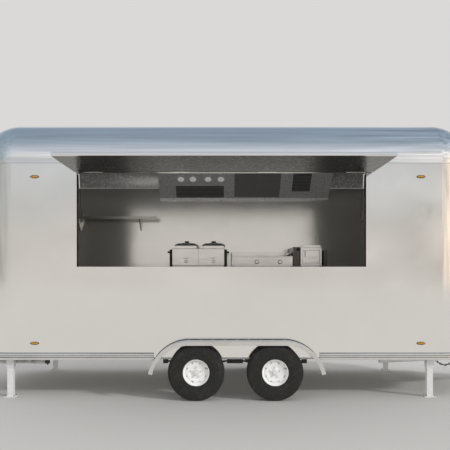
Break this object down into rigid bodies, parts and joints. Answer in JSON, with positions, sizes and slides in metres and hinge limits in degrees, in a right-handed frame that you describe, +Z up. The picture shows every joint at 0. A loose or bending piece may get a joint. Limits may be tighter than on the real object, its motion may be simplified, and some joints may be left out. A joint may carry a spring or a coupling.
{
  "type": "food trailer",
  "caption": "Polished steel catering trailer with rounded shell, top-hinged serving flap, tandem wheels under an arched fender, folding legs, fitted kitchen and A-frame drawbar.",
  "frame": {"origin": "middle of the whole trailer's plan, on the ground, with the serving flap open", "axes": "+X along the trailer towards the hitch, -Y out of the serving side, +Z up"},
  "size_m": [6.442, 3.28, 2.8993],
  "materials": {
    "shell_steel": "mirror polished stainless steel",
    "kitchen_steel": "satin stainless steel",
    "fender_aluminium": "bright rolled aluminium",
    "galvanised": "hot-dip galvanised",
    "black_plastic": "moulded black plastic",
    "dark_iron": "black painted spring steel",
    "tyre": "road tyre rubber",
    "rim_paint": "silver wheel paint",
    "floor_plate": "tread plate",
    "red_lens": "moulded lens",
    "window_glass": "clear",
    "pipe_plastic": "pale drain pipe"
  },
  "bodies": {
    "trailer": {"chassis_frame": "galvanised", "drawbar_near": "galvanised", "drawbar_far": "galvanised", "coupler": "galvanised", "drawbar_platform": "galvanised", "jack_housing": "galvanised", "floor": "floor_plate", "serving_wall": "shell_steel", "far_wall": "shell_steel", "front_end": "shell_steel", "rear_end": "shell_steel", "roof": "shell_steel", "roof_vent": "shell_steel", "skirt_rail_front": "fender_aluminium", "skirt_rail_rear": "fender_aluminium", "fender_near": "fender_aluminium", "fender_far": "fender_aluminium", "axle_rear": "galvanised", "axle_front": "galvanised", "springs_near": "dark_iron", "springs_far": "dark_iron", "back_bench": "kitchen_steel", "serving_counter": "kitchen_steel", "wall_shelf": "kitchen_steel", "hood": "kitchen_steel", "fryer": "kitchen_steel", "fryer_lid_rear": "kitchen_steel", "fryer_lid_front": "kitchen_steel", "griddle": "kitchen_steel", "warmer": "kitchen_steel", "rear_bumper": "galvanised", "tail_lamp_near": "red_lens", "tail_lamp_far": "red_lens", "drain_pipe": "pipe_plastic", "drain_valve": "black_plastic"},
    "flap": {"serving_flap": "shell_steel"},
    "strut_tube_rear": {"strut_tube_rear": "black_plastic"},
    "strut_tube_front": {"strut_tube_front": "black_plastic"},
    "strut_rod_rear": {"strut_rod_rear": "shell_steel"},
    "strut_rod_front": {"strut_rod_front": "shell_steel"},
    "door": {"rear_door": "shell_steel", "rear_door_glass": "window_glass"},
    "wheel_rear_near": {"rim_rear_near": "rim_paint", "tyre_rear_near": "tyre"},
    "wheel_rear_far": {"rim_rear_far": "rim_paint", "tyre_rear_far": "tyre"},
    "wheel_front_near": {"rim_front_near": "rim_paint", "tyre_front_near": "tyre"},
    "wheel_front_far": {"rim_front_far": "rim_paint", "tyre_front_far": "tyre"},
    "leg_rear_near": {"leg_rear_near": "galvanised"},
    "leg_rear_far": {"leg_rear_far": "galvanised"},
    "leg_front_near": {"leg_front_near": "galvanised"},
    "leg_front_far": {"leg_front_far": "galvanised"},
    "jockey_post": {"jockey_post": "galvanised"},
    "jockey_wheel": {"jockey_wheel": "tyre"}
  },
  "joints": [
    {"name": "flap_hinge", "type": "hinge", "parent": "trailer", "child": "flap", "pos_m": [-0.521, -0.677, 2.272], "axis": [1, 0, 0], "range_deg": [0, 90]},
    {"name": "strut_pivot_rear", "type": "hinge", "parent": "trailer", "child": "strut_tube_rear", "pos_m": [-1.974, -0.647, 1.772], "axis": [1, 0, 0], "range_deg": [-17, 0]},
    {"name": "strut_pivot_front", "type": "hinge", "parent": "trailer", "child": "strut_tube_front", "pos_m": [0.83, -0.647, 1.772], "axis": [1, 0, 0], "range_deg": [-17, 0]},
    {"name": "strut_slide_rear", "type": "slide", "parent": "strut_tube_rear", "child": "strut_rod_rear", "axis": [0, -0.255, 0.9669], "range_m": [-0.0605, 0]},
    {"name": "strut_slide_front", "type": "slide", "parent": "strut_tube_front", "child": "strut_rod_front", "axis": [0, -0.255, 0.9669], "range_m": [-0.0605, 0]},
    {"name": "door_hinge", "type": "hinge", "parent": "trailer", "child": "door", "pos_m": [-3.133, 0.775, 0.512], "axis": [0, 0, -1], "range_deg": [0, 110]},
    {"name": "wheel_spin_rear_near", "type": "hinge", "parent": "trailer", "child": "wheel_rear_near", "pos_m": [-0.819, -0.7525, 0.278], "axis": [0, 1, 0], "continuous": true},
    {"name": "wheel_spin_rear_far", "type": "hinge", "parent": "trailer", "child": "wheel_rear_far", "pos_m": [-0.819, 1.5325, 0.278], "axis": [0, 1, 0], "continuous": true},
    {"name": "wheel_spin_front_near", "type": "hinge", "parent": "trailer", "child": "wheel_front_near", "pos_m": [-0.045, -0.7525, 0.278], "axis": [0, 1, 0], "continuous": true},
    {"name": "wheel_spin_front_far", "type": "hinge", "parent": "trailer", "child": "wheel_front_far", "pos_m": [-0.045, 1.5325, 0.278], "axis": [0, 1, 0], "continuous": true},
    {"name": "leg_fold_rear_near", "type": "hinge", "parent": "trailer", "child": "leg_rear_near", "pos_m": [-2.708, -0.55, 0.325], "axis": [0, -1, 0], "range_deg": [0, 90]},
    {"name": "leg_fold_rear_far", "type": "hinge", "parent": "trailer", "child": "leg_rear_far", "pos_m": [-2.708, 1.33, 0.325], "axis": [0, -1, 0], "range_deg": [0, 90]},
    {"name": "leg_fold_front_near", "type": "hinge", "parent": "trailer", "child": "leg_front_near", "pos_m": [1.538, -0.55, 0.325], "axis": [0, 1, 0], "range_deg": [0, 90]},
    {"name": "leg_fold_front_far", "type": "hinge", "parent": "trailer", "child": "leg_front_far", "pos_m": [1.538, 1.33, 0.325], "axis": [0, 1, 0], "range_deg": [0, 90]},
    {"name": "jack_slide", "type": "slide", "parent": "trailer", "child": "jockey_post", "axis": [0, 0, 1], "range_m": [0, 0.15]},
    {"name": "jockey_spin", "type": "hinge", "parent": "jockey_post", "child": "jockey_wheel", "pos_m": [2.779, 0.39, 0.1], "axis": [0, 1, 0], "continuous": true}
  ],
  "couplings": [
    {"joint": "strut_pivot_rear", "follows": "flap_hinge", "ratio": -0.18744},
    {"joint": "strut_pivot_front", "follows": "flap_hinge", "ratio": -0.18744},
    {"joint": "strut_slide_rear", "follows": "flap_hinge", "m_per_rad": -0.038378},
    {"joint": "strut_slide_front", "follows": "flap_hinge", "m_per_rad": -0.038378}
  ]
}
